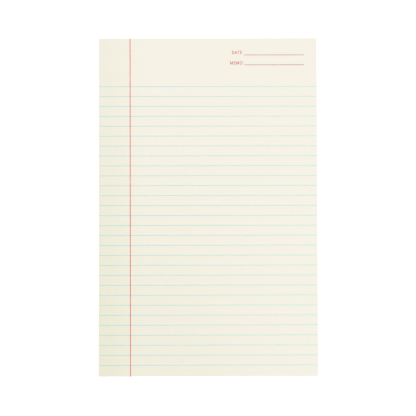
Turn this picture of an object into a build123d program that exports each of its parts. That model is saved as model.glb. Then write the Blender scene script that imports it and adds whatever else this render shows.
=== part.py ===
from build123d import *
from math import cos, radians, sin
import os

# A gummed notepad lying face up: ruled leaves on a chipboard back, held by a film of gum along the head.
# The origin is the middle of the underside, +X runs to the right of the page, +Y to the head, +Z up.
# All sizes are in millimetres.

# The leaves: half-letter sheets, five and a half by eight and a half inches
sheet_width = 139.7
sheet_height = 215.9
leaf_count = 50
leaf_thickness = 0.1
# How far the trimmed edge of a leaf strays from the stack, and the turn between one leaf's stray and the next
edge_stray = 0.06
stray_turn = 137.5

# The chipboard back, with its underside edges worn a little round
board_thickness = 0.7
board_edge_ease = 0.12

# The gum: a brushed film with rounded shoulders, kept back from the faces and the corners of the pad
gum_thickness = 0.3
gum_shoulder = 0.2
gum_set_back = 0.1

# The print: quarter-inch rules that keep at least the tail space clear, one margin line, two header lines
ink_film = 0.02
rule_pitch = 6.35
rule_width = 0.3
first_rule_drop = 31.0
tail_space = 4.0
margin_inset = 20.2
margin_width = 0.5
header_line_width = 0.32
header_line_length = 38.3
header_line_inset = 8.2
header_line_drop = 10.7
header_line_count = 2

# Places that follow from the sizes
pad_thickness = board_thickness + leaf_count * leaf_thickness
pad_length = sheet_height + gum_thickness
tail_y = -pad_length / 2
head_y = tail_y + sheet_height
sheet_middle_y = (tail_y + head_y) / 2
right_x = sheet_width / 2
left_x = -right_x


# Backing board: cut with the sheets, so it has their outline
with BuildPart() as backing_board:
    with BuildSketch():
        with Locations((0, sheet_middle_y)):
            Rectangle(sheet_width, sheet_height)
    extrude(amount=board_thickness)
    fillet(backing_board.faces().sort_by(Axis.Z)[0].edges(), radius=board_edge_ease)


# Sheet block: the leaves as one solid, all knocked up level at the head.
# Going down from the true top leaf, each one strays a hair to the side and falls a hair short at the tail.
with BuildPart() as sheet_block:
    for leaf in range(leaf_count):
        leaves_above = leaf_count - 1 - leaf
        turn = radians(stray_turn * leaves_above)
        side_stray = edge_stray * sin(turn)
        tail_stray = edge_stray * (1 - cos(turn)) / 2
        with BuildSketch(Plane.XY.offset(board_thickness + leaf * leaf_thickness)):
            with Locations((side_stray, head_y)):
                Rectangle(sheet_width, sheet_height - tail_stray, align=(Align.CENTER, Align.MAX))
        extrude(amount=leaf_thickness)


# Gum binding: a film that grips the head edges of the board and of every leaf, and thins to its rim
with BuildPart() as gum_binding:
    with BuildSketch(Plane.XY.offset(gum_set_back)):
        with Locations((0, head_y)):
            Rectangle(sheet_width - 2 * gum_set_back, gum_thickness, align=(Align.CENTER, Align.MIN))
    extrude(amount=pad_thickness - 2 * gum_set_back)
    fillet(gum_binding.faces().sort_by(Axis.Y)[-1].edges(), radius=gum_shoulder)


# Print: films of ink on the top leaf
ink_plane = Plane.XY.offset(pad_thickness)
margin_x = left_x + margin_inset
ruled_height = sheet_height - first_rule_drop - tail_space
rule_count = int(ruled_height / rule_pitch) + 1
first_rule_y = head_y - first_rule_drop
last_rule_y = first_rule_y - (rule_count - 1) * rule_pitch

# The rules cross the whole leaf and stop against the margin line, which is printed over them
with BuildPart() as blue_rules:
    with BuildSketch(ink_plane):
        with Locations((0, (first_rule_y + last_rule_y) / 2)):
            with GridLocations(0, rule_pitch, 1, rule_count):
                Rectangle(sheet_width, rule_width)
        with Locations((margin_x, sheet_middle_y)):
            Rectangle(margin_width, sheet_height, mode=Mode.SUBTRACT)
    extrude(amount=ink_film)

with BuildPart() as margin_line:
    with BuildSketch(ink_plane):
        with Locations((margin_x, sheet_middle_y)):
            Rectangle(margin_width, sheet_height)
    extrude(amount=ink_film)

# The header lines are one rule pitch apart and end short of the right edge
header_line_end = right_x - header_line_inset
header_middle_y = head_y - header_line_drop - rule_pitch * (header_line_count - 1) / 2
with BuildPart() as header_lines:
    with BuildSketch(ink_plane):
        with Locations((header_line_end - header_line_length / 2, header_middle_y)):
            with GridLocations(0, rule_pitch, 1, header_line_count):
                Rectangle(header_line_length, header_line_width)
    extrude(amount=ink_film)


# Each piece goes to its own file
pieces = {
    "backing_board": backing_board,
    "sheet_block": sheet_block,
    "gum_binding": gum_binding,
    "blue_rules": blue_rules,
    "margin_line": margin_line,
    "header_lines": header_lines,
}
os.makedirs("parts", exist_ok=True)
for name, piece in pieces.items():
    piece.part.label = name
    export_step(piece.part, f"parts/{name}.step")
    print(name, "solids", len(piece.part.solids()), "volume", round(piece.part.volume, 2))
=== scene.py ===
# %% [markdown]
# # A gummed notepad, from bare solids to a portrait
# The object is a half-letter writing pad: fifty ivory leaves with pale blue rules and a red margin, on a
# chipboard back, with a brushed film of gum along the head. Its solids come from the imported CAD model,
# which is the frame of everything here: it is never moved or resized. The lesson takes the pad piece by
# piece, first its paper, then its print, its gum and its board, and ends with the light and the camera of
# the portrait.

import bmesh
import bpy
import numpy as np
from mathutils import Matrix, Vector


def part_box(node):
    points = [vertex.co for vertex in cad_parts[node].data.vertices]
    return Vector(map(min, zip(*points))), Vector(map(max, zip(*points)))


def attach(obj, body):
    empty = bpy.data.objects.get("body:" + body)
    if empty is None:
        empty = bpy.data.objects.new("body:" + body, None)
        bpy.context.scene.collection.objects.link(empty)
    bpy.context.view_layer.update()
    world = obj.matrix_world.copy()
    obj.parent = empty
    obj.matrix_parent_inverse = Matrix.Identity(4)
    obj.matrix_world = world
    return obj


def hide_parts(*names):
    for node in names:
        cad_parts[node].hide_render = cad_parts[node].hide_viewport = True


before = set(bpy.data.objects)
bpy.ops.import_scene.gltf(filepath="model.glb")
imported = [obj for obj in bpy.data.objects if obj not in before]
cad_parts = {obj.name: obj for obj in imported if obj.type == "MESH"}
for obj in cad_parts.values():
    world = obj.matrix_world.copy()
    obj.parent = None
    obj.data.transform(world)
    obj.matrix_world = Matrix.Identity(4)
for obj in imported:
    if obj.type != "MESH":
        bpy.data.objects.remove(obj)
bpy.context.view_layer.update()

# %% [markdown]
# The sizes of the pad are read from the boxes of its solids, so that a pad of another size would be
# dressed the same way. The rules tell the width of the top leaf, because they cross it from edge to edge,
# and the step from the top leaf to the top of the rules is the film of ink. Only what the boxes can't
# tell is typed in: here the number of leaves and the quarter inch between two rules, and later what the
# scene adds, such as the words.

# %% Read the sizes of the pad
MM = 0.001
LEAF_COUNT = 50
RULE_PITCH = 6.35 * MM


def node_box(node):
    """The lowest and the highest corner of a CAD node, as arrays in metres."""
    low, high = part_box(node)
    return np.array(low), np.array(high)


block_low, block_high = node_box("sheet_block")
rules_low, rules_high = node_box("blue_rules")
margin_low, margin_high = node_box("margin_line")
header_low, header_high = node_box("header_lines")
gum_low, gum_high = node_box("gum_binding")

leaf_thickness = (block_high[2] - block_low[2]) / LEAF_COUNT
page_top = block_high[2]
head_y = block_high[1]
tail_y = block_low[1]
sheet_height = head_y - tail_y
sheet_width = rules_high[0] - rules_low[0]
ink_film = rules_high[2] - page_top
print("sheet", sheet_width / MM, "by", sheet_height / MM, "mm, leaf", leaf_thickness / MM, "mm")

# %% [markdown]
# Most shapes of this pad are grids of points: a leaf, a film of gum, the long faces of a line of ink.
# Blender could make them with primitives and modifiers, but an array of points shows the whole form in
# one formula. Four small helpers handle any such grid: its cells, its closed rows, its rim, and its place
# on the flat map that a baked picture uses.

# %% Helpers for grids


def cells(grid):
    """The four corners of each cell of a grid, of point numbers or any other values: a corner, its
    neighbour along the row, and the two in the next row."""
    corners = (grid[..., :-1, :-1], grid[..., :-1, 1:], grid[..., 1:, 1:], grid[..., 1:, :-1])
    return np.stack(corners, axis=-1).reshape(-1, 4)


def closed_rows(grid):
    """The same grid with each row's first value again at its end, so that its cells close the loop."""
    return np.concatenate([grid, grid[..., :1]], axis=-1)


def rim(grid):
    """The border of a grid once round: its first row, its last column, and the other two backwards."""
    return np.concatenate([grid[0, :-1], grid[:-1, -1], grid[-1, :0:-1], grid[:0:-1, 0]])


def band_places(grid, low, high):
    """Map places of a grid's cells: columns over the map's width, rows over a band of its height."""
    across, up = np.meshgrid(np.linspace(0, 1, grid.shape[1]), np.linspace(low, high, grid.shape[0]))
    return np.stack([cells(across), cells(up)], axis=-1)


sample = np.arange(12).reshape(3, 4)
print("3 by 4 points have", len(cells(sample)), "cells and a rim of", len(rim(sample)), "points")

# %% [markdown]
# Leaf, block and gum have the same build: a lower and an upper grid, and a wall from rim to rim. On the
# flat map the three lie above each other as bands, and the widest band goes to the part that shows: the
# face of a leaf, but the wall of the block. The volume inside the mesh is a quick test, because it is
# negative where faces point inwards.

# %% From grids to pieces


def walled(lower, upper, loops, bands):
    """Points, faces and map places of a closed body: a lower grid, an upper grid and a wall between their
    rims, through loops if there are any. The bands are the map heights where the upper grid begins and
    ends."""
    count = lower.shape[0] * lower.shape[1]
    floor = np.arange(count).reshape(lower.shape[:2])
    edge = rim(floor)
    between = 2 * count + np.arange(len(loops) * len(edge)).reshape(-1, len(edge))
    wall = closed_rows(np.concatenate([edge[None], between, edge[None] + count]))
    points = np.concatenate([lower.reshape(-1, 3), upper.reshape(-1, 3), np.reshape(loops, (-1, 3))])
    faces = np.concatenate([cells(floor)[:, ::-1], cells(floor + count), cells(wall)])
    begin, end = bands
    floor_places = band_places(floor, 0, begin)[:, ::-1]
    places = np.concatenate([floor_places, band_places(floor, begin, end), band_places(wall, end, 1)])
    return points, faces, places


def mesh_of(name, points, faces, places):
    """A mesh from arrays of points and faces, with its map under the name that the export looks for."""
    mesh = bpy.data.meshes.new(name)
    mesh.from_pydata(points.reshape(-1, 3).tolist(), [], faces.tolist())
    mesh.uv_layers.new(name="OFBake").uv.foreach_set("vector", places.astype(np.float32).ravel())
    return mesh


def volume_inside(mesh):
    """The volume inside a mesh in cubic millimetres, from its signed sum over the faces."""
    shell = bmesh.new()
    shell.from_mesh(mesh)
    volume = shell.calc_volume(signed=True) / MM ** 3
    shell.free()
    return volume


def add_piece(mesh, finish, stands_for):
    """Shows a mesh at the origin in its finish, riding with the pad and standing for a CAD node."""
    mesh.materials.append(finish)
    piece = bpy.data.objects.new(mesh.name, mesh)
    bpy.context.scene.collection.objects.link(piece)
    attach(piece, "root")
    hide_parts(stands_for)
    print(piece.name, len(mesh.polygons), "faces around", round(volume_inside(mesh), 2), "cubic mm")


# %% [markdown]
# Paper, board, gum and ink each have a finish made of nodes. Wiring nodes by hand hides the sum that they
# stand for, so one small class holds a socket and lets plain Python arithmetic add the Math nodes. The
# tree of nodes is another small class, with one method that adds any other node, and a finish is such a
# tree with the patterns that materials need.

# %% Helpers for finishes


class Wire:
    """One output socket of a finish. Arithmetic with numbers or other wires adds Math nodes."""

    def __init__(self, finish, socket):
        self.finish = finish
        self.socket = socket

    def worked(self, operation, first, second):
        """One Math node on two values, of which at least one is a wire."""
        return self.finish.node("ShaderNodeMath", {"operation": operation}, {0: first, 1: second})

    def __add__(self, other):
        return self.worked("ADD", self, other)

    def __radd__(self, other):
        return self.worked("ADD", other, self)

    def __sub__(self, other):
        return self.worked("SUBTRACT", self, other)

    def __rsub__(self, other):
        return self.worked("SUBTRACT", other, self)

    def __mul__(self, other):
        return self.worked("MULTIPLY", self, other)

    def __rmul__(self, other):
        return self.worked("MULTIPLY", other, self)


class Nodes:
    """A node tree under construction, of a material or of the world."""

    def __init__(self, owner):
        owner.use_nodes = True
        self.owner = owner
        self.tree = owner.node_tree
        self.tree.nodes.clear()

    def node(self, kind, settings=None, sockets=None, out=0):
        """Adds a node: its settings, then its sockets, each a value or a wire. Returns an output."""
        made = self.tree.nodes.new(kind)
        for name, value in (settings or {}).items():
            setattr(made, name, value)
        for name, value in (sockets or {}).items():
            if isinstance(value, Wire):
                self.tree.links.new(value.socket, made.inputs[name])
            else:
                made.inputs[name].default_value = value
        return Wire(self, made.outputs[out])

    def rise(self, value, low=0.0, high=1.0):
        """A soft step that goes from 0 to 1 as the value goes from low to high."""
        sockets = {"Value": value, "From Min": low, "From Max": high}
        return self.node("ShaderNodeMapRange", {"interpolation_type": "SMOOTHSTEP"}, sockets)

    def end(self, kind, shader):
        """Ends the tree with a shader on an output node of a kind, and returns the tree's owner."""
        output = self.tree.nodes.new(kind)
        self.tree.links.new(shader.socket, output.inputs["Surface"])
        print("finish", self.owner.name, len(self.tree.nodes), "nodes")
        return self.owner


class Finish(Nodes):
    """A material whose patterns read the piece's own Object coordinates, in metres."""

    def __init__(self, name):
        super().__init__(bpy.data.materials.new(name))
        self.place = self.node("ShaderNodeTexCoord", out="Object")

    def along(self, axis):
        """How far a point lies along an axis, X, Y or Z."""
        return self.node("ShaderNodeSeparateXYZ", {}, {0: self.place}, axis)

    def noise(self, size, detail):
        """Soft noise around zero, from about -0.5 to 0.5, with blotches of a size along each axis."""
        scale = tuple(1 / length for length in size)
        counted = self.node("ShaderNodeMapping", {}, {"Vector": self.place, "Scale": scale})
        sockets = {"Vector": counted, "Scale": 1.0, "Detail": detail}
        return self.node("ShaderNodeTexNoise", {}, sockets) - 0.5

    def mixed(self, first, second, share):
        """A colour between two. The Mix node's colour inputs are numbers 6 and 7, its output is 2."""
        return self.node("ShaderNodeMix", {"data_type": "RGBA"}, {0: share, 6: first, 7: second}, 2)

    def bump(self, height, depth):
        """A surface normal from a height in units of a depth in metres."""
        return self.node("ShaderNodeBump", {}, {"Height": height, "Distance": depth, "Strength": 1.0})

    def close(self, sockets):
        """Ends the finish with a Principled shader, and returns the material."""
        return self.end("ShaderNodeOutputMaterial", self.node("ShaderNodeBsdfPrincipled", {}, sockets))


# %% [markdown]
# Writing paper isn't one flat colour. Its fibres settle in clouds, and its surface has a fine tooth. On
# this sheet the colour also turns darker and warmer along its left edge and towards its tail. A picture
# of paper would show its seams, so the clouds, fibres and tooth are noise at their real size. The darker,
# warmer
# tone is two soft steps: a near one along the left edge, and a far one across the page that grows with
# the way down, which is painted shade where the light falls off towards the left and the tail.

# %% The finish of the top leaf
IVORY_LIGHT = (0.884, 0.851, 0.757, 1)
# darker, warmer tone: the left edge mixes towards it, and so does the painted shade of the far step
IVORY_SHADED_WARM = (0.812, 0.789, 0.643, 1)
NEAR_REACH = 32 * MM
NEAR_SHARE = 0.4
NEAR_TAIL_SHARE = 0.16
# strength of the painted shade across the page, towards the left and the tail
FAR_SHADE_SHARE = 0.43
CLOUD_SIZE = (5 * MM, 5 * MM, 5 * MM)
FIBRE_SIZE = (0.5 * MM, 1.6 * MM, 0.5 * MM)
MOTTLE_SHARE = 0.16
TOOTH_SIZE = (0.25 * MM, 0.25 * MM, 0.25 * MM)
TOOTH_DEPTH = 0.012 * MM
PAGE_SHINE = {"Roughness": 0.82, "Specular IOR Level": 0.25}


def ivory_page():
    """Ivory between a light tone and a darker, warmer one. The dark share is the near step along the left
    edge, more of it towards the tail, plus the far step times the way down, which is painted shade, plus
    a little cloud and fibre."""
    finish = Finish("ivory_page")
    clouds = finish.noise(CLOUD_SIZE, detail=3)
    fibres = finish.noise(FIBRE_SIZE, detail=2)
    tooth = finish.noise(TOOTH_SIZE, detail=2)
    left_x = -sheet_width / 2
    near = 1 - finish.rise(finish.along("X"), left_x, left_x + NEAR_REACH)
    far = 1 - finish.rise(finish.along("X"), left_x / 2, -left_x)
    down = 1 - finish.rise(finish.along("Y"), tail_y, head_y)
    # darker and warmer along the left edge, more so towards the tail
    left_edge_darkening = near * (NEAR_SHARE + down * NEAR_TAIL_SHARE)
    # painted shade: the page darkens towards the left and the tail, where the light falls off
    painted_page_shade = far * down * FAR_SHADE_SHARE
    mottle = (clouds + fibres) * MOTTLE_SHARE
    colour = finish.mixed(IVORY_LIGHT, IVORY_SHADED_WARM, left_edge_darkening + painted_page_shade + mottle)
    normal = finish.bump(tooth + fibres, TOOTH_DEPTH)
    return finish.close({"Base Color": colour, "Normal": normal} | PAGE_SHINE)


page_finish = ivory_page()

# %% [markdown]
# A pad that is gummed only at its head is never quite flat. Its leaves share a faint wave, and the top
# few relax and stand a hair off each other at the free tail, most at the corners. A cloth simulation
# could find such a shape, but the rise is a few tenths of a millimetre, and one formula gives it for
# every leaf and for the ink that lies on the page.

# %% How far a leaf rises from its flat place
WAVE_RISE = 0.05 * MM
WAVE_TURN_ACROSS = 3.1
WAVE_TURN_DOWN = 4.7
TAIL_RISE = 0.3 * MM
CORNER_SHARE = 0.65
LOOSE_LEAVES = 14


def leaf_rise(x, y, leaves_above):
    """A wave that grows from the board up and from the head down, plus the loose leaves' rise at the
    tail: the fourth power of the share of the way down, more at the sides, less with each leaf above."""
    down = (head_y - y) / sheet_height
    across = 2 * x / sheet_width
    turn = WAVE_TURN_ACROSS * across + WAVE_TURN_DOWN * down
    wave = np.sin(turn) * down * (1 - leaves_above / LEAF_COUNT)
    looseness = np.clip(1 - leaves_above / LOOSE_LEAVES, 0, 1) ** 2
    lift = looseness * down ** 4 * (1 - CORNER_SHARE + CORNER_SHARE * across ** 2)
    return WAVE_RISE * wave + TAIL_RISE * lift


def page_height(x, y):
    """The height of the writing face at a place on the page."""
    return page_top + leaf_rise(x, y, 0)


print("tail corner rises", (page_height(sheet_width / 2, tail_y) - page_top) / MM, "mm")

# %% [markdown]
# A guillotine cuts a whole pile at once, yet no two leaves of a pad end at quite the same line: each one
# strays a few hundredths of a millimetre. One function gives any point of any leaf, from its share across
# and down the page, the leaf's number from the board, and its level between the underside and the face.
# Every part of the block uses it.

# %% A point on a leaf
EDGE_STRAY = 0.06 * MM
STRAY_TURN = np.radians(137.5)


def leaf_points(across, down, leaf, level, inset=0):
    """Points from shares across (-1 to 1) and down (0 to 1): the leaf's outline, drawn in by the inset,
    moved by a stray that turns by the golden angle from leaf to leaf, at the leaf's level plus its
    rise."""
    leaves_above = LEAF_COUNT - 1 - leaf
    side_stray = EDGE_STRAY * np.sin(STRAY_TURN * leaves_above)
    tail_stray = EDGE_STRAY * (1 - np.cos(STRAY_TURN * leaves_above)) / 2
    x = side_stray + across * (sheet_width / 2 - inset)
    y = head_y - inset - down * (sheet_height - tail_stray - 2 * inset)
    z = block_low[2] + leaf_thickness * (leaf + level) + leaf_rise(x, y, leaves_above)
    return np.stack(np.broadcast_arrays(x, y, z), axis=-1)


def page_shares(columns, rows):
    """Shares across and down at a grid's points, from the tail's left corner to the head's right one."""
    return np.meshgrid(np.linspace(-1, 1, columns + 1), np.linspace(1, 0, rows + 1))


side_strays = leaf_points(0, 0, np.arange(LEAF_COUNT), 0)[:, 0]
print("leaves stray from", side_strays.min() / MM, "to", side_strays.max() / MM, "mm")

# %% [markdown]
# The top leaf is the piece that the portrait shows most of. It is a sheet a tenth of a millimetre thick:
# a grid of points for the writing face, the same grid one thickness lower for the back, and a narrow wall
# round the edge. A plane with a Solidify modifier would do as well, but the grid carries the rise of the
# paper straight from its formula.

# %% The top leaf
TOP_COLUMNS, TOP_ROWS = 56, 86
FACE_BANDS = (0.03, 0.97)

across, down = page_shares(TOP_COLUMNS, TOP_ROWS)
top_back = leaf_points(across, down, LEAF_COUNT - 1, 0)
top_face = leaf_points(across, down, LEAF_COUNT - 1, 1)
top_leaf = mesh_of("top_leaf", *walled(top_back, top_face, [], FACE_BANDS))
add_piece(top_leaf, page_finish, "sheet_block")

# %% [markdown]
# The cut edges below it are the same paper seen end-on, a little darker and more grey than the face,
# because light sinks in between the fibres. No two leaves took the knife alike, so the tone changes from
# leaf to leaf, and along each edge in streaks of a few centimetres. Streaks are noise in cells that are
# long along the edge and as thin as a leaf.

# %% The finish of the cut edges
EDGE_LIGHT = (0.835, 0.800, 0.700, 1)
EDGE_DARK = (0.700, 0.655, 0.545, 1)
EDGE_TONE = 0.42
STREAK_SIZE = (30 * MM, 30 * MM, 1.3 * leaf_thickness)
STREAK_SHARE = 0.9
BAND_SIZE = (140 * MM, 140 * MM, 6 * leaf_thickness)
BAND_SHARE = 0.7
NICK_SIZE = (0.6 * MM, 0.6 * MM, leaf_thickness)
NICK_SHARE = 0.5
NICK_DEPTH = 0.03 * MM
EDGE_SHINE = {"Roughness": 0.9, "Specular IOR Level": 0.2}


def cut_edges():
    """Edge paper between two tones: streaks a leaf thick, bands some leaves thick, and fine nicks."""
    finish = Finish("cut_edges")
    streaks = finish.noise(STREAK_SIZE, detail=2)
    bands = finish.noise(BAND_SIZE, detail=1)
    nicks = finish.noise(NICK_SIZE, detail=2)
    tone = EDGE_TONE + streaks * STREAK_SHARE + bands * BAND_SHARE + nicks * NICK_SHARE
    colour = finish.mixed(EDGE_LIGHT, EDGE_DARK, finish.rise(tone))
    normal = finish.bump(nicks + streaks, NICK_DEPTH)
    return finish.close({"Base Color": colour, "Normal": normal} | EDGE_SHINE)


edge_finish = cut_edges()

# %% [markdown]
# Below the top leaf lie forty-nine more, of which only the cut edges show, with a thread of shadow
# between two leaves. Forty-nine closed sheets would hide a great many faces inside the pad, so the block
# is one skin instead: three loops round the pad for each leaf, its lower edge, its upper edge and the
# crease above it. The edges waver a little and the creases open and close along the way, by random
# numbers that are smoothed and come from a fixed seed.

# %% The leaves below
STACK_COLUMNS, STACK_ROWS = 40, 60
STACK_SEED = 3
EDGE_WAVER = 0.012 * MM
CREASE_DEPTH = 0.22 * MM
CREASE_SHARE = 0.12
CREASE_CHANGE = 0.05
LEAST_CREASE = 0.05
WALL_BANDS = (0.02, 0.04)


def soft_random(seed, shape):
    """Random numbers around zero, each averaged with its two neighbours along the last axis."""
    rough = np.random.default_rng(seed).normal(size=(*shape[:-1], shape[-1] + 2))
    return (rough[..., :-2] + 2 * rough[..., 1:-1] + rough[..., 2:]) / 4


def edge_loops(across, down):
    """Loops from the lowest leaf up, three for each. The crease takes a share of the leaf's thickness at
    either side, never less than the least, and is drawn in by the crease's depth."""
    leaf = np.arange(LEAF_COUNT - 1).reshape(-1, 1, 1)
    waver, change = soft_random(STACK_SEED, (2, LEAF_COUNT - 1, 1, len(across)))
    share = np.clip(CREASE_SHARE + CREASE_CHANGE * change, LEAST_CREASE, None)
    level = np.concatenate([share, 1 - share, np.ones_like(share)], axis=1)
    inset = EDGE_WAVER * waver + CREASE_DEPTH * np.array([[0], [0], [1]])
    return leaf_points(across, down, leaf, level, inset).reshape(-1, len(across), 3)


across, down = page_shares(STACK_COLUMNS, STACK_ROWS)
stack_loops = edge_loops(rim(across), rim(down))
stack_floor = leaf_points(across, down, 0, 0)
stack_roof = leaf_points(across, down, LEAF_COUNT - 2, 1, CREASE_DEPTH)
leaf_stack = mesh_of("leaf_stack", *walled(stack_floor, stack_roof, stack_loops[:-1], WALL_BANDS))
add_piece(leaf_stack, edge_finish, "sheet_block")

# %% [markdown]
# Ruled paper is printed by thin discs that run along the sheet, so a rule is a bar of ink of nearly even
# width, with edges that feather a little into the paper. A texture could draw the rules, but a baked
# picture would blur lines of a third of a millimetre, so each is a real bar: a four-point profile carried
# along a path on the page, whose height follows the paper. Lines and letters alike are made of such bars.

# %% Bars of ink
INK_SEED = 7
FEATHER_SHARE = 0.07
CAP_STRIP = 0.01


def straight(starts, ends, steps):
    """Paths from start points to end points, in steps: the start plus a share of the way."""
    starts = np.asarray(starts, float)[:, None]
    return starts + np.linspace(0, 1, steps + 1)[:, None] * (np.asarray(ends, float)[:, None] - starts)


def ink_bars(paths, width, lifts=0, folds=1):
    """Points, faces and map places of bars along paths: at each step the path's point plus and minus half
    the feathered width to its sides, once a film inside the page and once a film above it, plus the bar's
    lift in films."""
    run = np.gradient(paths, axis=1)
    left = np.stack([-run[..., 1], run[..., 0]], axis=-1) / np.linalg.norm(run, axis=-1, keepdims=True)
    half = width / 2 * (1 + FEATHER_SHARE * soft_random(INK_SEED, paths.shape[:2]))
    reach = half[..., None] * left
    flat = np.stack([paths + reach, paths + reach, paths - reach, paths - reach], axis=2)
    films = np.array([-1, 1, 1, -1]) + np.reshape(lifts, (-1, 1, 1))
    height = page_height(flat[..., 0], flat[..., 1]) + ink_film * films
    index = np.arange(height.size).reshape(height.shape)
    caps = np.concatenate([index[:, 0, ::-1], index[:, -1]])
    faces = np.concatenate([cells(closed_rows(index)), caps])
    points = np.concatenate([flat, height[..., None]], axis=-1)
    return points, faces, bar_places(len(paths), paths.shape[1] - 1, folds)


def bar_places(count, steps, folds):
    """Map places of bars: a bar is cut into as many lengths as it has folds, and each length has a band
    of the map's height, over which its four sides follow each other, while the map's width goes along it.
    Both end caps of a bar share the narrow strip before its first length."""
    bands = count * folds
    numbers = (np.arange(bands), np.arange(steps // folds + 1), np.arange(5))
    band, step, side = np.meshgrid(*numbers, indexing="ij")
    along = CAP_STRIP + (1 - CAP_STRIP) * step * folds / steps
    sides = np.stack([cells(along), cells((band + side / 4) / bands)], axis=-1)
    cap_along = CAP_STRIP * np.array([[0, 1, 1, 0]])
    cap_up = (folds * np.arange(count)[:, None] + np.array([[0, 0, 1, 1]])) / bands
    caps = np.stack(np.broadcast_arrays(cap_along, cap_up), axis=-1)
    return np.concatenate([sides, caps, caps])


print("a bar of 4 steps has", len(bar_places(1, 4, 1)), "faces, of which 2 are its ends")

# %% [markdown]
# Printing ink soaks into paper, so it is matt, and its strength varies with the pressure and the fibres
# under it. Blue and red get the same recipe with their own two tones, and the blue runs thinner towards
# the right of the page. Where the red margin crosses a rule both inks lie on each other and the crossing
# is darker: the red finish finds those crossings by counting rule pitches down the page.

# %% The finishes of the inks
BLUE_FULL = (0.325, 0.675, 0.69, 1)
BLUE_THIN = (0.495, 0.825, 0.785, 1)
BLUE_FADE = 0.3
RED_FULL = (0.74, 0.090, 0.080, 1)
RED_THIN = (0.80, 0.16, 0.13, 1)
HEADER_FULL = (0.60, 0.090, 0.085, 1)
HEADER_THIN = (0.64, 0.13, 0.115, 1)
CROSSING = (0.24, 0.07, 0.08, 1)
CROSSING_BLUR = 0.2
INK_GRAIN = (0.8 * MM, 0.8 * MM, 0.8 * MM)
GRAIN_RANGE = 0.3
INK_SHINE = {"Roughness": 0.7, "Specular IOR Level": 0.3}

rule_count = round((rules_high[1] - rules_low[1]) / RULE_PITCH) + 1
rule_width = rules_high[1] - rules_low[1] - (rule_count - 1) * RULE_PITCH
first_rule_y = rules_high[1] - rule_width / 2


def rule_mask(finish):
    """One where a rule passes and zero between: the distance to the nearest whole pitch below the first
    rule, against half a rule's width, from the first rule to the last."""
    pitches = (first_rule_y + RULE_PITCH / 2 - finish.along("Y")) * (1 / RULE_PITCH)
    offset = finish.node("ShaderNodeMath", {"operation": "FRACT"}, {0: pitches}) - 0.5
    distance = finish.node("ShaderNodeMath", {"operation": "ABSOLUTE"}, {0: offset})
    half = rule_width / 2 / RULE_PITCH
    ruled = finish.rise(pitches, 0.0, half) * (1 - finish.rise(pitches, rule_count - half, rule_count))
    beside = finish.rise(distance, (1 - CROSSING_BLUR) * half, (1 + CROSSING_BLUR) * half)
    return ruled * (1 - beside)


def ink(name, full, thin, fade=0, crossing=None):
    """Ink between full and thin strength by noise plus a fade from the left to the right of the sheet,
    and a third colour where it lies over the rules."""
    finish = Finish(name)
    thinness = finish.noise(INK_GRAIN, detail=3)
    if fade:
        thinness = thinness + finish.along("X") * (fade / sheet_width)
    colour = finish.mixed(full, thin, finish.rise(thinness, -GRAIN_RANGE, GRAIN_RANGE))
    if crossing is not None:
        colour = finish.mixed(colour, crossing, rule_mask(finish))
    return finish.close({"Base Color": colour} | INK_SHINE)


blue_ink = ink("pale_blue_ink", BLUE_FULL, BLUE_THIN, fade=BLUE_FADE)
red_margin_ink = ink("red_margin_ink", RED_FULL, RED_THIN, crossing=CROSSING)
red_header_ink = ink("red_header_ink", HEADER_FULL, HEADER_THIN)
print(rule_count, "rules", rule_width / MM, "mm wide")

# %% [markdown]
# The rules run from edge to edge of the leaf, a quarter inch apart, and all of them are one mesh. Their
# paths are straight, in steps of half a millimetre, which is fine enough for the edges to feather and for
# the bars to follow the wave of the paper.

# %% The rules
RULE_STEPS = 280

rule_y = first_rule_y - RULE_PITCH * np.arange(rule_count)
edge_x = np.full(rule_count, sheet_width / 2)
rule_starts = np.stack([-edge_x, rule_y], axis=-1)
rule_ends = np.stack([edge_x, rule_y], axis=-1)
rules = mesh_of("rules", *ink_bars(straight(rule_starts, rule_ends, RULE_STEPS), rule_width))
add_piece(rules, blue_ink, "blue_rules")

# %% [markdown]
# The margin line is printed in red over the blue. It is a bar of the same kind, in the middle of the box
# of its CAD solid. It runs from head to tail, out of true by a hair as a second printing often is, and
# lies half a film higher than the rules. It is so long that its map is folded into eight lengths, which
# keeps the crossings sharp when they are baked.

# %% The margin line
MARGIN_STEPS = 432
MARGIN_FOLDS = 8
MARGIN_LIFT = 0.5
MARGIN_LEAN = 0.135 * MM

margin_x = (margin_low[0] + margin_high[0]) / 2
margin_width = margin_high[0] - margin_low[0]
margin_start = (margin_x + MARGIN_LEAN, tail_y)
margin_end = (margin_x - MARGIN_LEAN, head_y)
margin_path = straight([margin_start], [margin_end], MARGIN_STEPS)
margin = mesh_of("margin", *ink_bars(margin_path, margin_width, MARGIN_LIFT, MARGIN_FOLDS))
add_piece(margin, red_margin_ink, "margin_line")

# %% [markdown]
# The two header lines stand at the top right, one rule pitch apart, in an ink a little deeper than the
# margin's. One box holds the solids of both, so its sides give the ends of the lines, and its height is
# the pitch plus the width of a line.

# %% The header lines
HEADER_STEPS = 76

header_width = header_high[1] - header_low[1] - RULE_PITCH
header_y = (header_high[1] - header_width / 2, header_low[1] + header_width / 2)
header_starts = [(header_low[0], y) for y in header_y]
header_ends = [(header_high[0], y) for y in header_y]
header = mesh_of("header", *ink_bars(straight(header_starts, header_ends, HEADER_STEPS), header_width))
add_piece(header, red_header_ink, "header_lines")

# %% [markdown]
# Before each header line stands a small word that says what to write there. The two are plain words of
# use, as on any such form. A text object would give finer letters than ink can print two millimetres
# high, so these are drawn with the same bars as the lines: each letter is a few strokes in a box one wide
# and one high, straight, bowed or round, with the box's width as a share of its height.

# %% The letters of the header
STROKE_STEPS = 16
BOW_POWER = 0.7


def lines(*ends):
    """Straight strokes in a letter's box, each given by the four numbers of its two ends."""
    ends = np.array(ends, float)
    return straight(ends[:, :2], ends[:, 2:], STROKE_STEPS)


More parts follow.
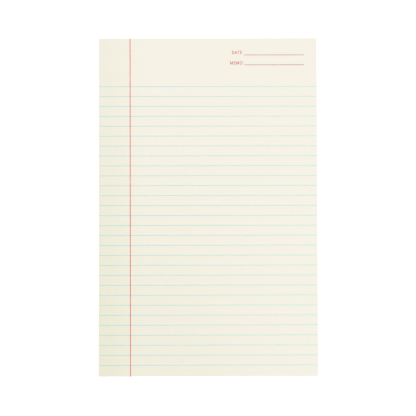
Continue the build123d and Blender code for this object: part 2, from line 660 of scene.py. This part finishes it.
def bowed(power, start, reach):
    """A stroke from foot to cap height over half a turn: it rises by the cosine and goes sideways from
    its start by a reach times the sine to a power, which is round at one and squarer below."""
    turn = np.pi * np.linspace(0, 1, STROKE_STEPS + 1)
    return np.stack([start + reach * np.sin(turn) ** power, (1 - np.cos(turn)) / 2], axis=-1)[None]


LETTERS = {
    "D": (0.62, np.concatenate([lines((0, 0, 0, 1)), bowed(BOW_POWER, 0, 1)])),
    "A": (0.72, lines((0, 0, 0.5, 1), (0.5, 1, 1, 0), (0.18, 0.36, 0.82, 0.36))),
    "T": (0.60, lines((0, 1, 1, 1), (0.5, 0, 0.5, 1))),
    "E": (0.56, lines((0.2, 0, 0.2, 1), (0.2, 0, 1, 0), (0.2, 0.52, 0.9, 0.52), (0.2, 1, 1, 1))),
    "M": (0.78, lines((0, 0, 0, 1), (0, 1, 0.5, 0.1), (0.5, 0.1, 1, 1), (1, 1, 1, 0))),
    "O": (0.84, np.concatenate([bowed(1, 0.5, -0.5), bowed(1, 0.5, 0.5)])),
}
print("strokes", {letter: len(strokes) for letter, (wide, strokes) in LETTERS.items()})

# %% [markdown]
# A word sets its letters side by side and stretches them to its own width. Its strokes run on past their
# ends by half a width, which fills the corners where they meet. Faces that lie in one plane flicker dark
# in a render, so each stroke also lies a twentieth of a film higher than the one before.

# %% The header words
CAPITAL_HEIGHT = 2.1 * MM
STROKE_WIDTH = 0.29 * MM
STROKE_LIFT = 0.05
LETTER_GAP = 0.40
DATE_WIDTH = 6.25 * MM
MEMO_WIDTH = 7.98 * MM
DATE_GAP = 1.43 * MM
MEMO_GAP = 1.02 * MM
DATE_RISE = 0.55 * MM
MEMO_RISE = 0.15 * MM


def run_on(paths, length):
    """The same paths, with both ends moved on by a length in the direction of the last step."""
    steps = paths[:, [0, -1]] - paths[:, [1, -2]]
    longer = paths.copy()
    longer[:, [0, -1]] += length * steps / np.linalg.norm(steps, axis=-1, keepdims=True)
    return longer


def header_word(name, word, width, gap, foot_y):
    """The letters of a word side by side, stretched to its width and height, with a gap between the word
    and the header lines."""
    widths = np.array([LETTERS[letter][0] for letter in word])
    places = np.cumsum(widths + LETTER_GAP) - widths - LETTER_GAP
    boxed = [LETTERS[letter][1] for letter in word]
    letters = [strokes * (wide, 1) + (place, 0) for strokes, wide, place in zip(boxed, widths, places)]
    skeleton = np.array([width, CAPITAL_HEIGHT]) - STROKE_WIDTH
    paths = np.concatenate(letters) / (places[-1] + widths[-1], 1) * skeleton
    corner = (header_low[0] - gap - width + STROKE_WIDTH / 2, foot_y + STROKE_WIDTH / 2)
    strokes = run_on(paths + corner, STROKE_WIDTH / 2)
    mesh = mesh_of(name, *ink_bars(strokes, STROKE_WIDTH, STROKE_LIFT * np.arange(len(strokes))))
    add_piece(mesh, red_header_ink, "header_lines")


header_word("word_date", "DATE", DATE_WIDTH, DATE_GAP, header_y[0] + DATE_RISE)
header_word("word_memo", "MEMO", MEMO_WIDTH, MEMO_GAP, header_y[1] + MEMO_RISE)

# %% [markdown]
# Padding gum is brushed along the clamped heads of a pile of pads and dries to a flexible, milky film. It
# is thickest along the middle and thins to its rim, and it keeps the strokes of the brush. A profile
# carried along the head gives that: a rounded section whose thickness is rippled by strokes that run
# lengthwise and by slow unevenness. Both are products of two waves, so that they come and go.

# %% The film of gum
GUM_STEPS = 160
GUM_PROFILE_STEPS = 26
GUM_GRIP = 0.02 * MM
CROWN_POWER = 6
FILM_SHARE = 0.8
STROKE_SHARE = 0.10
FINE_STROKES, BROAD_STROKES = 31, 13
STROKE_BEND, BEND_TURN, STROKE_DRIFT = 2, 3, 5
SAG_SHARE = 0.10
SHORT_SAGS, LONG_SAGS, SAG_TILT = 17, 7, 4
RIM_WAVER = 0.05 * MM
SHORT_WAVES, LONG_WAVES = 41, 9
START_TURN = 1


def gum_film():
    """Over the length and the height of the film, the thickness is a flat crown with round shoulders, the
    root of one minus a power of the distance from the middle, times a share that strokes change with the
    height and sags with the length. The inner face grips a hair into the leaves, and the rims waver."""
    along = np.linspace(0, 1, GUM_STEPS + 1)[:, None]
    up = np.linspace(0, 1, GUM_PROFILE_STEPS + 1)[None, :]
    crown = np.sqrt(1 - np.abs(2 * up - 1) ** CROWN_POWER)
    ends = np.sqrt(np.clip(np.minimum(along, 1 - along) * GUM_STEPS, 0, 1))
    bend = STROKE_BEND * np.sin(BEND_TURN * along)
    strokes = np.sin(FINE_STROKES * up + bend) * np.sin(BROAD_STROKES * up + STROKE_DRIFT * along)
    sags = np.sin(SHORT_SAGS * along + START_TURN) * np.sin(LONG_SAGS * along + SAG_TILT * up)
    share = FILM_SHARE + STROKE_SHARE * strokes + SAG_SHARE * sags
    depth = (gum_high[1] - gum_low[1]) * crown * ends * share
    waver = RIM_WAVER * np.sin(SHORT_WAVES * along) * np.sin(LONG_WAVES * along + START_TURN)
    x = gum_low[0] + (gum_high[0] - gum_low[0]) * along + 0 * up
    z = gum_low[2] + (gum_high[2] - gum_low[2]) * up + waver * (2 * up - 1)
    inner = np.stack([x, np.full_like(x, gum_low[1] - GUM_GRIP), z], axis=-1)
    outer = np.stack([x, gum_low[1] + depth, z], axis=-1)
    return walled(inner, outer, [], FACE_BANDS)


gum = mesh_of("gum_film", *gum_film())
gum.shade_smooth()
print("gum", len(gum.vertices), "points")

# %% [markdown]
# Dried gum is milky and a little glossy. The brush leaves streaks in its tone, its gloss and its relief,
# and all three come from one noise stretched along the head, so that they agree. The edges of the leaves
# under the film show through it as faint lines.

# %% The finish of the gum
GUM_PALE = (0.80, 0.775, 0.69, 1)
GUM_DEEP = (0.66, 0.625, 0.53, 1)
GUM_TONE = 0.4
BRUSH_SIZE = (24 * MM, 24 * MM, 0.45 * MM)
BRUSH_SHARE = 1.1
BRUSH_DEPTH = 0.03 * MM
BURIED_SIZE = (60 * MM, 60 * MM, 1.2 * leaf_thickness)
BURIED_SHARE = 0.6
BURIED_RELIEF = 0.3
GUM_ROUGHNESS = 0.34
BRUSH_ROUGHNESS = 0.3
GUM_GLOSS = {"Coat Weight": 0.25, "Coat Roughness": 0.2, "Specular IOR Level": 0.5}


def dried_gum():
    """Milky film between two tones: lengthwise strokes, and leaf edges that show faintly through it."""
    finish = Finish("dried_gum")
    strokes = finish.noise(BRUSH_SIZE, detail=3)
    leaves = finish.noise(BURIED_SIZE, detail=1)
    tone = GUM_TONE + strokes * BRUSH_SHARE + leaves * BURIED_SHARE
    colour = finish.mixed(GUM_PALE, GUM_DEEP, finish.rise(tone))
    roughness = GUM_ROUGHNESS + strokes * BRUSH_ROUGHNESS
    normal = finish.bump(strokes + leaves * BURIED_RELIEF, BRUSH_DEPTH)
    return finish.close({"Base Color": colour, "Roughness": roughness, "Normal": normal} | GUM_GLOSS)


add_piece(gum, dried_gum(), "gum_binding")

# %% [markdown]
# The back is chipboard: grey-brown board made of waste paper, with dark and pale flecks of old print and
# fibre. Its CAD solid already has the right shape, with a worn lower edge, so it stays and only gets a
# finish. Flecks are noise pushed through a soft step, so that only its peaks show.

# %% The finish of the back
BOARD_LIGHT = (0.34, 0.275, 0.205, 1)
BOARD_DARK = (0.235, 0.185, 0.135, 1)
BOARD_TONE = 0.5
PATCH_SIZE = (9 * MM, 9 * MM, 1 * MM)
PATCH_SHARE = 0.45
PULP_SIZE = (0.7 * MM, 2.4 * MM, 0.2 * MM)
PULP_SHARE = 0.9
DARK_FLECK = (0.11, 0.095, 0.08, 1)
DARK_FLECK_SIZE = (0.9 * MM, 0.6 * MM, 0.3 * MM)
DARK_FLECK_PEAK = (0.13, 0.21)
DARK_FLECK_SHARE = 0.7
PALE_FLECK = (0.52, 0.455, 0.36, 1)
PALE_FLECK_SIZE = (0.5 * MM, 1.3 * MM, 0.3 * MM)
PALE_FLECK_PEAK = (0.15, 0.23)
PALE_FLECK_SHARE = 0.6
PATCH_RELIEF = 0.5
PULP_DEPTH = 0.05 * MM
BOARD_SHINE = {"Roughness": 0.92, "Specular IOR Level": 0.2}


def chipboard():
    """Grey-brown between two tones by patches and pulp, with dark and pale flecks where noise peaks."""
    finish = Finish("flecked_chipboard")
    patches = finish.noise(PATCH_SIZE, detail=4)
    pulp = finish.noise(PULP_SIZE, detail=3)
    dark = finish.rise(finish.noise(DARK_FLECK_SIZE, detail=2), *DARK_FLECK_PEAK)
    pale = finish.rise(finish.noise(PALE_FLECK_SIZE, detail=2), *PALE_FLECK_PEAK)
    tone = BOARD_TONE + patches * PATCH_SHARE + pulp * PULP_SHARE
    bare = finish.mixed(BOARD_LIGHT, BOARD_DARK, finish.rise(tone))
    flecked = finish.mixed(bare, DARK_FLECK, dark * DARK_FLECK_SHARE)
    colour = finish.mixed(flecked, PALE_FLECK, pale * PALE_FLECK_SHARE)
    normal = finish.bump(pulp + patches * PATCH_RELIEF, PULP_DEPTH)
    return finish.close({"Base Color": colour, "Normal": normal} | BOARD_SHINE)


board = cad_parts["backing_board"]
board.data.materials.clear()
board.data.materials.append(chipboard())

# %% [markdown]
# The portrait is taken on a white ground, in light so soft that the pad casts no shadow that shows. The
# floor is a large pale plane that gives off light of its own, as a light table does, and more of it far
# from the pad, where the lamp doesn't reach.

# %% The floor
FLOOR_REACH = 6.0
FLOOR_DROP = 0.2 * MM
FLOOR_MATT = {"Base Color": (0.9, 0.9, 0.9, 1), "Roughness": 0.9, "Emission Strength": 1.0}
NEAR_GLOW = (0.4, 0.4, 0.4, 1)
FAR_GLOW = (0.6, 0.6, 0.6, 1)
GLOW_REACH = (0.5, 1.5)


def floor_white():
    """Matt white with a glow that grows with the distance from the pad."""
    finish = Finish("floor_white")
    distance = finish.node("ShaderNodeVectorMath", {"operation": "LENGTH"}, {0: finish.place}, "Value")
    glow = finish.mixed(NEAR_GLOW, FAR_GLOW, finish.rise(distance, *GLOW_REACH))
    return finish.close({"Emission Color": glow} | FLOOR_MATT)


def pale_floor():
    """A square plane just under the pad."""
    square = np.array([(-1, -1, 0), (1, -1, 0), (1, 1, 0), (-1, 1, 0)])
    corners = FLOOR_REACH * square - (0, 0, FLOOR_DROP)
    mesh = bpy.data.meshes.new("floor")
    mesh.from_pydata(corners.tolist(), [], [(0, 1, 2, 3)])
    mesh.materials.append(floor_white())
    floor = bpy.data.objects.new("floor", mesh)
    bpy.context.scene.collection.objects.link(floor)


pale_floor()

# %% [markdown]
# The world adds an even glow from all sides. Low down it is as white as the far floor, so that no horizon
# shows behind the pad, and higher up it is half as bright, so that the sky and the lamp light the page by
# about equal shares. Colours are shown by the Standard view, which keeps whites white.

# %% The world
WHITE = (1, 1, 1, 1)
SKY_GLOW = 0.5
HORIZON_GLOW = 1.1
HORIZON_SINE = 0.35


def soft_sky():
    """White light: the horizon's glow, which falls to the sky's as the sine of the height rises."""
    sky = Nodes(bpy.data.worlds.new("studio"))
    direction = sky.node("ShaderNodeTexCoord", out="Generated")
    height = sky.node("ShaderNodeSeparateXYZ", {}, {0: direction}, "Z")
    glow = HORIZON_GLOW - (HORIZON_GLOW - SKY_GLOW) * sky.rise(height, 0.0, HORIZON_SINE)
    light = sky.node("ShaderNodeBackground", {}, {"Color": WHITE, "Strength": glow})
    return sky.end("ShaderNodeOutputWorld", light)


bpy.context.scene.world = soft_sky()
bpy.context.scene.view_settings.view_transform = "Standard"

# %% [markdown]
# Over the pad hangs one broad lamp. High and almost straight overhead, it lights the page evenly, and
# what little shadow it would throw beside so thin a thing is lost in the glow of the floor.

# %% The lamp
LAMP_PLACE = (0.05, 0.05, 1.6)
LAMP_SIZE = 0.5
LAMP_POWER = 13.4

lamp_data = bpy.data.lights.new("lamp", "AREA")
lamp_data.shape = "DISK"
lamp_data.size = LAMP_SIZE
lamp_data.energy = LAMP_POWER
lamp = bpy.data.objects.new("lamp", lamp_data)
lamp.location = LAMP_PLACE
bpy.context.scene.collection.objects.link(lamp)
print("lamp of", LAMP_POWER, "watts at", LAMP_PLACE)

# %% [markdown]
# The camera looks straight down from seventy centimetres, as over a copy stand, with a small lean towards
# the tail that makes the head of the page a little narrower than its tail. The lens is chosen so that the
# page fills the same part of the square picture as in the photograph.

# %% The camera
CAMERA_PLACE = (-0.00195, -0.01962, 0.7)
CAMERA_LEAN = np.radians((1.536, -0.154, -0.13))
CAMERA_LENS = 94.12

camera_data = bpy.data.cameras.new("camera")
camera_data.lens = CAMERA_LENS
camera = bpy.data.objects.new("camera", camera_data)
camera.location = CAMERA_PLACE
camera.rotation_euler = CAMERA_LEAN
bpy.context.scene.collection.objects.link(camera)
bpy.context.scene.camera = camera
print("camera with a lens of", CAMERA_LENS, "mm at", CAMERA_PLACE)
